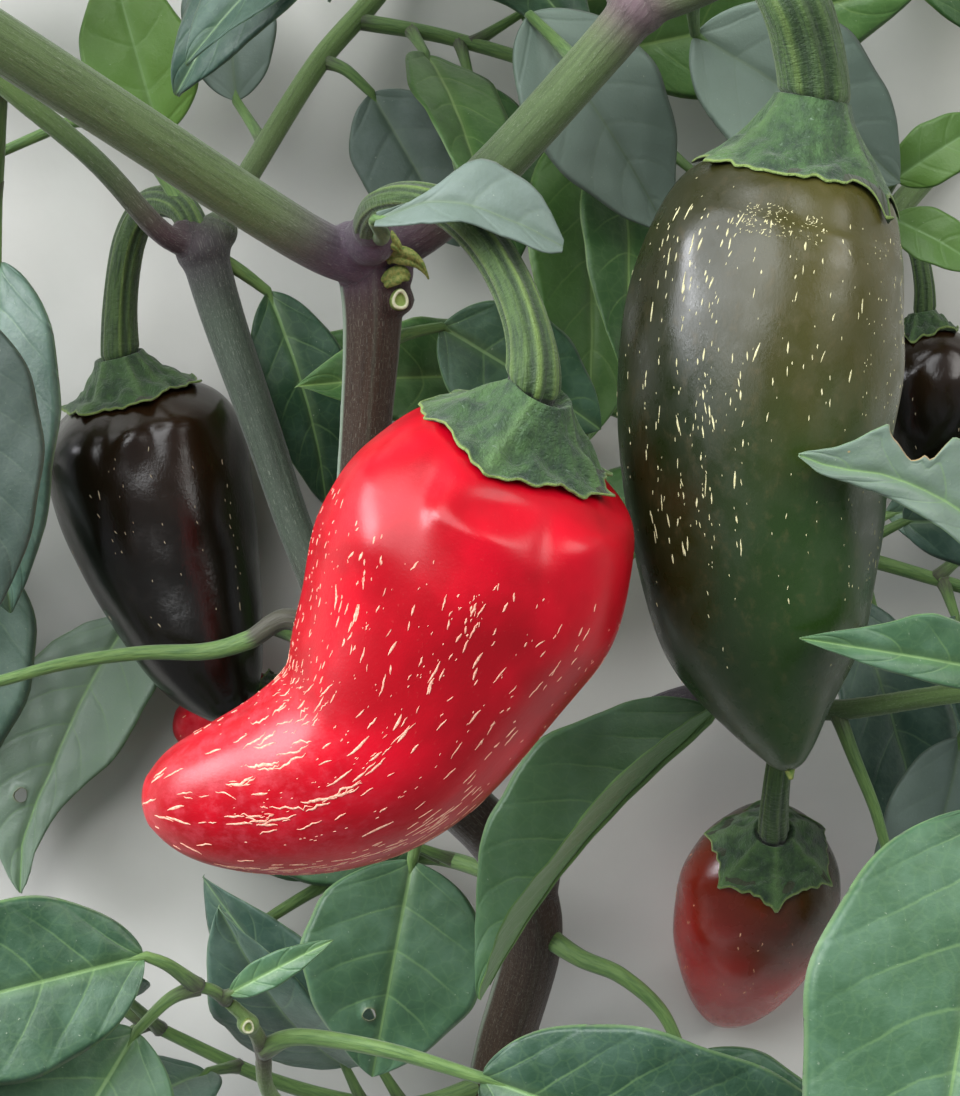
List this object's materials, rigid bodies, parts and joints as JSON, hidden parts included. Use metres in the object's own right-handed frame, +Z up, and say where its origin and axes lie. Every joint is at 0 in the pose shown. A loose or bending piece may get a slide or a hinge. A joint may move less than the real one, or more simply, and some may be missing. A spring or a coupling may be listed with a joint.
{
  "type": "chilli pepper plant branch",
  "caption": "Cut branch of a chilli pepper plant lying on its back: forked stems, pointed leaves, and glossy red, olive-green and near-black fruit on curved stalks.",
  "frame": {"origin": "middle of the footprint, on the surface that the branch lies on", "axes": "+Y runs from the cut foot of the stem to the leafy tips, +X to the right seen from above, +Z up off the surface, towards the side that the picture shows"},
  "size_m": [0.2166, 0.2258, 0.1064],
  "materials": {
    "bark_green": "smooth green bark",
    "bark_purple": "smooth purple-grey bark",
    "bark_brown": "rough brown bark",
    "stalk": "soft sheen",
    "skin_red": "gloss",
    "skin_green": "gloss",
    "skin_dark": "gloss",
    "skin_turning": "gloss",
    "leaf_green": "soft sheen",
    "leaf_pale": "soft sheen"
  },
  "bodies": {
    "root": {"main_stem": "bark_brown", "fork_stem_right": "bark_brown", "fork_stem_left": "bark_purple", "left_bough": "bark_green", "right_bough": "bark_green", "bough_to_green_fruit": "bark_green", "bough_beyond_green_fruit": "bark_green", "bough_up": "bark_green", "twig_left": "stalk", "twig_right": "stalk", "lower_bough": "bark_purple", "right_shoot": "stalk", "back_bough": "bark_purple", "low_shoot": "stalk", "red_fruit": "skin_red", "red_fruit_stalk": "stalk", "green_fruit": "skin_green", "green_fruit_stalk": "stalk", "dark_fruit": "skin_dark", "dark_fruit_stalk": "stalk", "turning_fruit": "skin_turning", "turning_fruit_stalk": "stalk", "small_red_fruit": "skin_red", "small_red_fruit_stalk": "stalk", "edge_fruit": "skin_dark", "edge_fruit_stalk": "stalk", "fork_leaf": "leaf_pale", "leaf_under_dark_fruit": "leaf_green", "leaf_across_dark_fruit": "leaf_green", "leaf_behind_stem": "leaf_green", "folded_leaf": "leaf_green", "leaf_low_right": "leaf_green", "leaf_below_red_fruit": "leaf_green", "low_shoot_leaves": "leaf_green", "bottom_leaf": "leaf_green", "right_leaves": "leaf_green", "leaf_by_turning_fruit": "leaf_green", "leaf_behind_red_stalk": "leaf_green", "leaf_behind_right_bough": "leaf_pale", "leaf_behind_green_stalk": "leaf_pale", "leaves_at_right_edge": "leaf_green", "bright_leaf_top_left": "leaf_green", "dark_leaf_top_left": "leaf_pale", "pale_leaf_top": "leaf_pale", "arched_leaf_left": "leaf_green", "leaf_at_left_edge": "leaf_pale", "leaf_low_right_back": "leaf_pale", "spray_left_bough": "leaf_green", "spray_twig_left": "leaf_green", "spray_left_side": "leaf_green", "spray_twig_right": "leaf_green", "spray_top_middle": "leaf_green", "spray_bough_up": "leaf_green", "spray_beyond_green_fruit": "leaf_green", "spray_back_bough": "leaf_green", "spray_low_left": "leaf_green", "spray_low_middle": "leaf_green", "spray_back_middle": "leaf_green", "spray_right_side": "leaf_green"}
  },
  "joints": []
}
